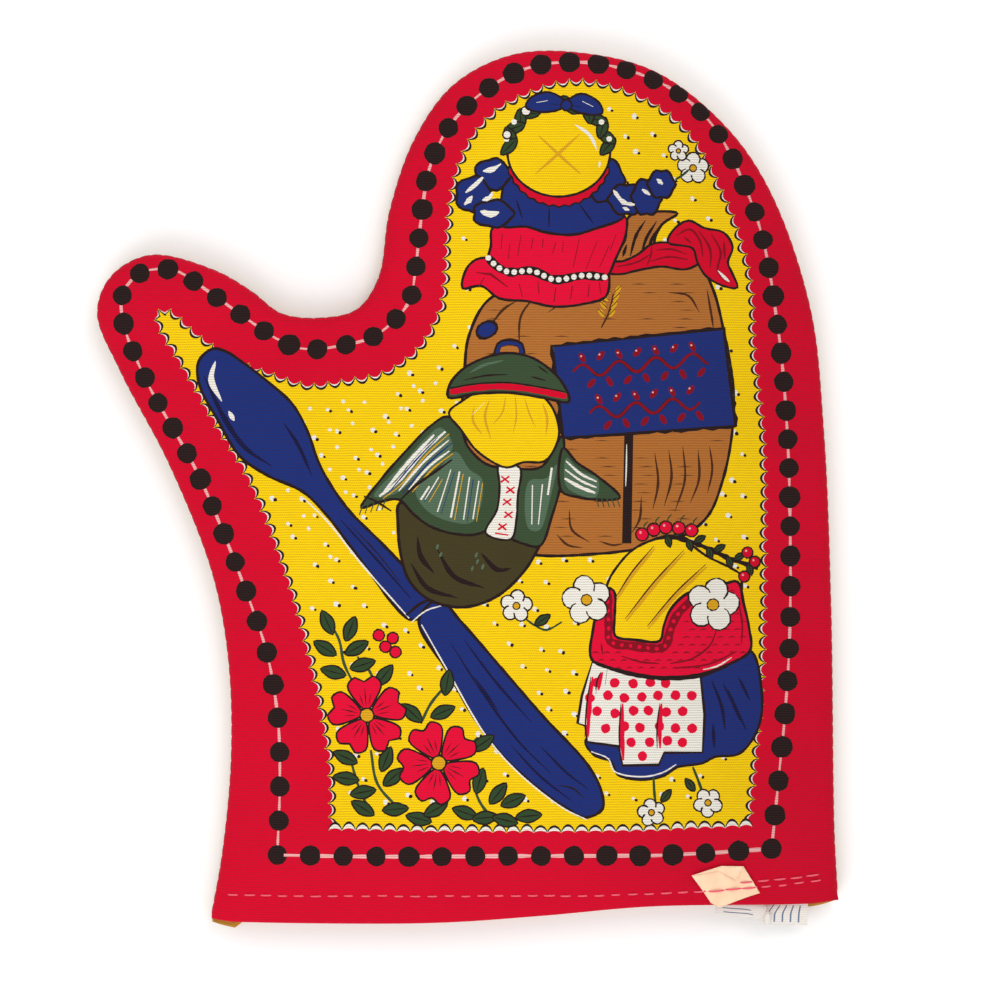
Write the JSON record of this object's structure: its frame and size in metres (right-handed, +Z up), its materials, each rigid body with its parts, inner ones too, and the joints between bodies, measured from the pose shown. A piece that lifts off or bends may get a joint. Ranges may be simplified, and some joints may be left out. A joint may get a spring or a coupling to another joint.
{
  "type": "oven mitt",
  "caption": "Padded cotton oven mitt with a thumb, lying flat: printed front, plain back, lining, wadding, turned cuff hem and folding fingers and thumb.",
  "frame": {"origin": "middle of the overall box, on the surface that the mitt lies on", "axes": "+Y from the cuff to the fingertips, +Z up out of the printed front panel, thumb on the -X side"},
  "size_m": [0.224, 0.2644, 0.0144],
  "materials": {
    "printed_cotton": "matte ribbed cotton, screen printed in red, yellow, blue, green and brown",
    "golden_cotton": "matte ribbed cotton, plain golden yellow",
    "wadding": "soft fibre wadding",
    "lining_cotton": "matte unbleached cotton",
    "seam_cotton": "matte cotton, pressed margins of the panels",
    "sewing_thread": "twisted red thread",
    "hem_thread": "twisted pinkish red thread",
    "golden_thread": "twisted golden thread",
    "ticket_paper": "creased uncoated paper",
    "label_tape": "smooth woven tape with plain blue-grey bars"
  },
  "bodies": {
    "hand": {"front_shell_hand": "printed_cotton", "back_shell_hand": "golden_cotton", "front_wadding_hand": "wadding", "back_wadding_hand": "wadding", "front_lining_hand": "lining_cotton", "back_lining_hand": "lining_cotton", "seam_margin_hand": "seam_cotton", "seam_thread_hand": "sewing_thread", "front_hem_stitches": "hem_thread", "front_hem_restart": "hem_thread", "back_hem_stitches": "golden_thread", "price_ticket": "ticket_paper", "care_label_root": "label_tape"},
    "fingers": {"front_shell_fingers": "printed_cotton", "back_shell_fingers": "golden_cotton", "front_wadding_fingers": "wadding", "back_wadding_fingers": "wadding", "front_lining_fingers": "lining_cotton", "back_lining_fingers": "lining_cotton", "seam_margin_fingers": "seam_cotton", "seam_thread_fingers": "sewing_thread"},
    "thumb": {"front_shell_thumb": "printed_cotton", "back_shell_thumb": "golden_cotton", "front_wadding_thumb": "wadding", "back_wadding_thumb": "wadding", "front_lining_thumb": "lining_cotton", "back_lining_thumb": "lining_cotton", "seam_margin_thumb": "seam_cotton", "seam_thread_thumb": "sewing_thread"},
    "care_label": {"care_label_end": "label_tape"}
  },
  "joints": [
    {"name": "finger_fold", "type": "hinge", "parent": "hand", "child": "fingers", "pos_m": [0.02, 0.0742, 0.01415], "axis": [1, 0, 0], "range_deg": [0, 90], "stiffness_Nm_per_rad": 0.02},
    {"name": "thumb_fold", "type": "hinge", "parent": "hand", "child": "thumb", "pos_m": [-0.05892, 0.005, 0.01415], "axis": [0.2861, 0.9582, 0], "range_deg": [0, 90], "stiffness_Nm_per_rad": 0.01},
    {"name": "label_flap", "type": "hinge", "parent": "hand", "child": "care_label", "pos_m": [0.08855, -0.12529, 0.00942], "axis": [-1, 0, 0], "range_deg": [-60, 90], "stiffness_Nm_per_rad": 0.0002}
  ]
}
